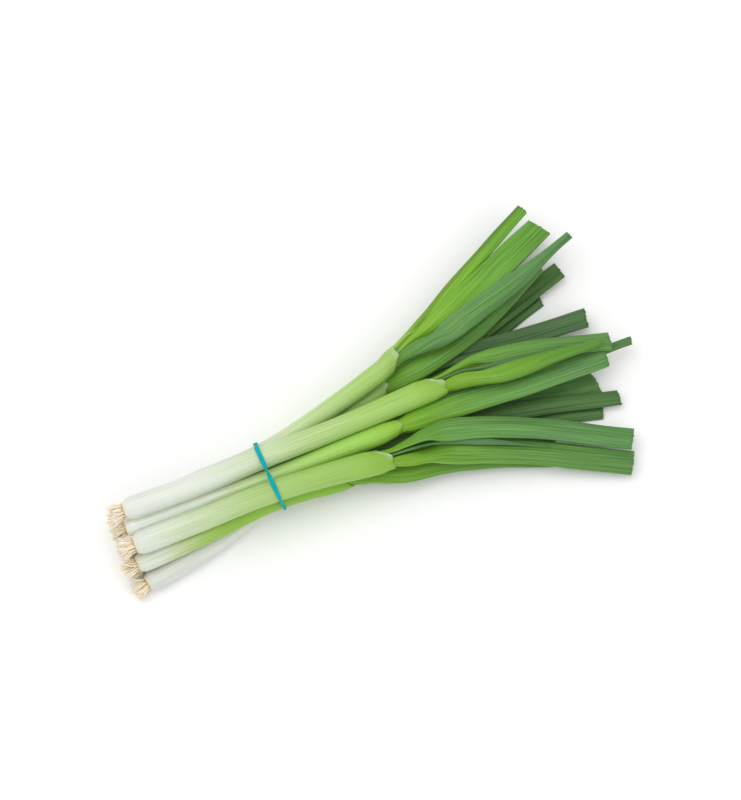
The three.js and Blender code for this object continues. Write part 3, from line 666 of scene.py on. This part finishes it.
def stem_piece(onion, material):
    """Makes a stem's skin and returns the rows of its body without the rounded end."""
    node = f"{onion}_stem"
    turn, green, pale, lightness = STEM_LOOKS[onion]
    draw = random.Random(node)
    body = smooth_rows(rings_of(node, STEM_SIDES), STEM_STEPS)
    rows = np.concatenate([rounded_end(body), body])
    places, girth = round_lengths(rows[len(rows) // 2])
    share = places / girth
    along = run_length(rows.mean(1))[:, None]
    # Distance to the rim, along each line of corners because the rim is slanted
    rail = run_length(rows)
    edge = rail[-1] - rail

    sway = RIDGE_SWAY * np.sin(along / RIDGE_SWAY_LENGTH)
    ridges = np.sin(FULL_TURN * (SKIN_RIDGES * share + sway)) + ragged(share, draw)
    rows = moved(rows, outward(rows), (SKIN_RIDGE * ridges + STEM_SWELL) * smooth(along / SKIN_START))

    near_rim = 1 - smooth(edge / COLLAR_TAPER)
    lip = pale * hump(share, COLLAR_POINT_PLACE, COLLAR_POINT_WIDTH)
    lengthening = (COLLAR_RAGGED * ragged(share, draw) + COLLAR_POINT * lip) * near_rim
    closing = COLLAR_CLOSING * near_rim
    if onion == SPREAD_SHEATH:
        far_side = hump(share, SPREAD_PLACE, SPREAD_WIDTH)
        closing = closing - SHEATH_SPREAD * far_side * (1 - smooth(edge / SPREAD_TAPER))
    direction = row_frames(rows)[1][:, None, :]
    closed = moved(rows, outward(rows), -closing)
    rows = above_table(moved(closed, direction, lengthening))

    walls = [mix(COLLAR_WALL, SHEATH_WALL, depth / COLLAR_DEPTHS[-1]) for depth in COLLAR_DEPTHS]
    inside = hollow_end(rows, COLLAR_DEPTHS, walls)
    marks = {
        "along": carried_in(along, inside) / MM,
        "around": share,
        "edge": np.concatenate([edge, np.array(COLLAR_DEPTHS)[:, None] + edge[-1]]) / MM,
        "turn": turn,
        "green": green,
        "pale": pale * (1 - smooth(np.abs(share - COLLAR_PALE_PLACE) / COLLAR_PALE_WIDTH)),
        # the stem's own tone together with painted light or shade, as listed in STEM_LOOKS
        "lightness": lightness,
        "seed": draw.uniform(*SEEDS),
    }
    dress(node, rows, inside, marks, material)
    return body


def fitted_leaf(node, rows, along):
    """A leaf's rows, narrowed to a point or swollen where they leave the sheath."""
    centre, _, side, _ = (axis[:, None, :] for axis in row_frames(rows))
    if node in POINTED_LEAVES:
        width = mix(POINT_WIDTH, 1, smooth((along[-1] - along) / POINT_LENGTH))
        return mix(centre, rows, width[..., None])
    across = ((rows - centre) * side).sum(-1)
    swelling = LEAF_SWELL * smooth(along / LEAF_SWELL_START) * smooth(1 - along / LEAF_SWELL_END)
    shift = swelling * across
    if node == SPREAD_LEAF:
        # About 0 at the leaf's near edge and 1 at its far edge
        far_part = 0.5 + across / np.ptp(across, axis=1, keepdims=True)
        leaning = smooth(1 + along / LEAF_SEAT) * smooth(1 - along / SPREAD_LEAF_END)
        shift = shift + LEAF_SPREAD * far_part * leaning
    return moved(rows, side, shift)


def leaf_piece(node, material):
    """Makes a leaf's skin with its ribs, crease, slow waves and cut end."""
    lightness, bloom, rib_height, crease, pace, lead = LEAF_LOOKS[node]
    draw = random.Random(node)
    rows = smooth_rows(rings_of(node, LEAF_SIDES), LEAF_STEPS)
    # Measured round at two thirds of its length, where it is clear of the sheath
    places, girth = round_lengths(rows[len(rows) * 2 // 3])
    share = places / girth
    along = run_length(rows.mean(1))[:, None] - LEAF_SEAT
    edge = along[-1] - along
    rows = fitted_leaf(node, rows, along)

    wander = RIB_WANDER * ragged(share, draw)
    ribs = np.cos(FULL_TURN * round(girth / RIB_SPACING) * (share + wander))
    heights = RIB_LEVEL + RIB_UNEVENNESS * ragged(share, draw)
    fading = 1 - RIB_FADING + RIB_FADING * np.sin(along / RIB_FADING_LENGTH + draw.uniform(*PHASES))
    ribs = ribs * heights * fading
    fold = hump(share, CREASE_PLACE - draw.uniform(-CREASE_STRAY, CREASE_STRAY), CREASE_WIDTH)
    phase = FULL_TURN * (along / RIPPLE_LENGTH + draw.random())
    sway = RIPPLE_SWAY * np.cos(FULL_TURN * (share + draw.random()))
    opened = smooth(along / LEAF_OPENING)
    relief = opened * (rib_height * MM * ribs - crease * MM * fold + RIPPLE * np.sin(phase + sway))
    rows = moved(rows, outward(rows), relief)

    direction = row_frames(rows)[1][:, None, :]
    fraying = TIP_RAGGED * ragged(share, draw) * (1 - smooth(edge / TIP_RAGGED_LENGTH))
    rows = above_table(moved(rows, direction, fraying))
    inside = hollow_end(rows, TIP_DEPTHS, [TIP_WALL] * len(TIP_DEPTHS))

    whole_along = carried_in(along, inside)
    # Painted shade: one half of a folded leaf is made darker, as if turned away from the light
    shade, fold_place = FOLD_SHADES.get(node, NO_FOLD)
    shaded = smooth((share - fold_place) / FOLD_WIDTH * np.sign(shade)) * abs(shade)
    if node == SPREAD_LEAF:
        shaded = shaded * smooth(whole_along / SPREAD_LEAF_END)
    marks = {
        "along": whole_along / MM,
        "around": share,
        "edge": np.concatenate([edge, np.array(TIP_DEPTHS)[:, None]]) / MM,
        # the leaf's own tone with painted shade, and the fold's painted shade on one half
        "lightness": lightness * (1 - shaded),
        "bloom": bloom,
        "pace": pace,
        "lead": lead,
        "rib": np.concatenate([opened * ribs, np.zeros(inside.shape[:2])]) * rib_height,
        "seed": draw.uniform(*SEEDS),
    }
    dress(node, rows, inside, marks, material)


# Roots

def tube_rows(path, radius, taper, sides):
    """Rows of points round a path, which thins towards its end."""
    along = unit(np.gradient(path, axis=0))
    side = unit(np.cross(TILTED_UP, along))
    rise = np.cross(along, side)
    angle = (np.arange(sides) / sides * FULL_TURN)[None, :, None]
    ring = np.cos(angle) * side[:, None, :] + np.sin(angle) * rise[:, None, :]
    return path[:, None, :] + radius * np.linspace(1, taper, len(path))[:, None, None] * ring


def tubes_mesh(name, tubes):
    """One mesh of closed tubes, each given by its rows of points, their share along it and its tint."""
    points, faces, shares, tints = [], [], [], []
    for rows, share, tint in tubes:
        start = len(points)
        count, sides = rows.shape[:2]
        points.extend(rows.reshape(-1, 3))
        shares.extend(np.repeat(share, sides))
        tints.extend([tint] * (count * sides))
        for i in range(count - 1):
            for j in range(sides):
                a = start + i * sides + j
                b = start + i * sides + (j + 1) % sides
                faces.append((a, b, b + sides, a + sides))
        faces.append(tuple(range(start + sides - 1, start - 1, -1)))
        faces.append(tuple(range(start + (count - 1) * sides, start + count * sides)))
    return mesh_object(name, np.array(points), faces, {"along": shares, "tint": tints})


def root_piece(onion, stem_rows, material):
    """A root plate on the stem's root end with a dense tuft of rootlets, all in one mesh."""
    node = f"{onion}_roots"
    draw = random.Random(node)
    centre, along, side, rise = (axis[0] for axis in row_frames(stem_rows))
    radius = np.linalg.norm(stem_rows[0] - centre, axis=-1).mean()

    depths, widths = np.array(ROOT_PLATE_ROWS).T
    plate_path = centre - along * depths[:, None] * ROOT_PLATE_DEPTH
    plate = tube_rows(plate_path, radius * ROOT_PLATE_SHARE, 1, ROOT_PLATE_SIDES)
    plate = mix(plate_path[:, None, :], plate, widths[:, None, None])
    tubes = [(plate, np.zeros(len(plate)), ROOT_PLATE_TINT)]

    t = np.linspace(0, 1, ROOTLET_ROWS)[:, None]
    for i in range(ROOTLETS):
        spread = math.sqrt((i + 0.5) / ROOTLETS)
        foot = ROOT_PLATE_SHARE * spread
        angle = i * GOLDEN_ANGLE + draw.uniform(-ROOTLET_STRAY, ROOTLET_STRAY)
        lengthening = ROOTLET_MIDDLE - ROOTLET_EDGE_LOSS * spread
        length = ROOTLET_LENGTH * draw.uniform(*ROOTLET_LENGTHS) * lengthening
        flare = draw.uniform(*ROOTLET_FLARES) * MM * spread
        swing = angle + draw.uniform(-ROOTLET_CURL, ROOTLET_CURL) * t**2
        reach = radius * foot + flare * t**ROOTLET_FLARE_BEND
        start = ROOTLET_SINK * BULB_END_DEPTH * math.sqrt(1 - foot**2)
        path = centre - along * (start + length * t)
        path = path + side * reach * np.cos(swing) + rise * reach * np.sin(swing)
        path = path + side * ROOTLET_WAVE * np.sin(ROOTLET_WAVE_TURN * t + draw.uniform(*PHASES)) * t
        path = above_table(path, ROOTLET_RADIUS * ROOTLET_RADII[1])
        rows = tube_rows(path, ROOTLET_RADIUS * draw.uniform(*ROOTLET_RADII), ROOTLET_TAPER, ROOTLET_SIDES)
        tubes.append((rows, t[:, 0], draw.uniform(*ROOTLET_TINTS)))
    place(tubes_mesh(f"{node}_tuft", tubes), node, material)


# Rubber band

def squared(value):
    """A sine or cosine bent towards -1 and 1, which makes a round section nearly a rectangle."""
    return np.sign(value) * np.abs(value) ** BAND_SQUARENESS


def band_piece(material):
    """The band through the CAD band's stations, with round edges."""
    places, _ = merged_mesh("rubber_band")
    middle = places.mean(0)
    turn = np.arctan2(places[:, 2] - middle[2], places[:, 1] - middle[1])
    stations = places[np.argsort(turn)].reshape(-1, BAND_CORNERS, 3)
    centres = stations.mean(1)
    tangent = unit(np.roll(centres, -1, 0) - np.roll(centres, 1, 0))
    across = np.array([1.0, 0.0, 0.0])
    out = unit(np.cross(tangent, across))

    # How far each station's long side leans from lying across, from the spread of its corners
    wide = ((stations - centres[:, None]) * across).sum(-1)
    thick = ((stations - centres[:, None]) * out[:, None]).sum(-1)
    lean = 0.5 * np.arctan2(2 * (wide * thick).mean(1), (wide**2).mean(1) - (thick**2).mean(1))
    lean = np.unwrap(lean, period=math.pi)
    half_turns = round((lean[-1] - lean[0]) / math.pi)
    lean = np.append(lean, lean[0] + math.pi * half_turns)

    centres = finer(centres, BAND_STEPS, closed=True)
    out = unit(finer(out, BAND_STEPS, closed=True))
    lean = finer(lean, BAND_STEPS, closed=False)[:-1, None]
    angle = np.arange(BAND_SIDES) / BAND_SIDES * FULL_TURN
    from_near_edge = centres[:, 1:2] - centres[:, 1].min()
    narrowing = 1 - BAND_NARROW * hump(from_near_edge, 0, BAND_NARROW_LENGTH)
    wide = BAND_WIDTH / 2 * squared(np.cos(angle)) * narrowing
    thick = BAND_THICKNESS / 2 * squared(np.sin(angle))
    turned_wide = wide * np.cos(lean) - thick * np.sin(lean)
    turned_thick = wide * np.sin(lean) + thick * np.cos(lean)
    rows = centres[:, None] + turned_wide[..., None] * across + turned_thick[..., None] * out[:, None]
    rows = above_table(rows)

    index = np.arange(wide.size).reshape(wide.shape)
    after = np.roll(index, -1, 0)
    corners = [index, np.roll(index, -1, 1), np.roll(after, -1, 1), after]
    faces = np.stack(corners, -1).reshape(-1, 4).tolist()
    rim = np.abs(wide).ravel() / (BAND_WIDTH / 2)
    piece = mesh_object("rubber_band_loop", rows.reshape(-1, 3), faces, {"rim": rim})
    place(piece, "rubber_band", material)


# The bunch

stem_look, leaf_look, root_look = stem_material(), leaf_material(), root_material()
for onion in STEM_LOOKS:
    root_piece(onion, stem_piece(onion, stem_look), root_look)
for leaf in LEAF_LOOKS:
    leaf_piece(leaf, leaf_look)
band_piece(band_material())


# Floor, light and camera

floor_corners = np.array([[-1, -1, 0], [1, -1, 0], [1, 1, 0], [-1, 1, 0]]) * FLOOR_HALF
floor = mesh_object("floor", floor_corners, [(0, 1, 2, 3)], {})
floor.data.materials.append(floor_material())


def add_to_scene(name, data, spot, direction):
    """A light or camera at a spot, looking in a direction."""
    made = bpy.data.objects.new(name, data)
    bpy.context.scene.collection.objects.link(made)
    made.location = spot
    made.rotation_mode = "QUATERNION"
    made.rotation_quaternion = direction.to_track_quat("-Z", "Y")
    return made


for name, (spot, size, power) in LIGHTS.items():
    light = bpy.data.lights.new(name, "AREA")
    light.size = size
    light.energy = power
    add_to_scene(name, light, spot, -Vector(spot))

world = bpy.data.worlds.new("studio")
world.use_nodes = True
background = world.node_tree.nodes["Background"]
background.inputs["Color"].default_value = (1, 1, 1, 1)
background.inputs["Strength"].default_value = WORLD_STRENGTH
bpy.context.scene.world = world
bpy.context.scene.view_settings.view_transform = "Standard"

optics = bpy.data.cameras.new("camera")
optics.lens = LENS_MM
optics.sensor_width = SENSOR_MM
azimuth, elevation = math.radians(VIEW_AZIMUTH), math.radians(VIEW_ELEVATION)
level = math.cos(elevation)
back = Vector((math.sin(azimuth) * level, -math.cos(azimuth) * level, math.sin(elevation)))
bpy.context.scene.camera = add_to_scene("camera", optics, VIEW_TARGET + back * VIEW_DISTANCE, -back)
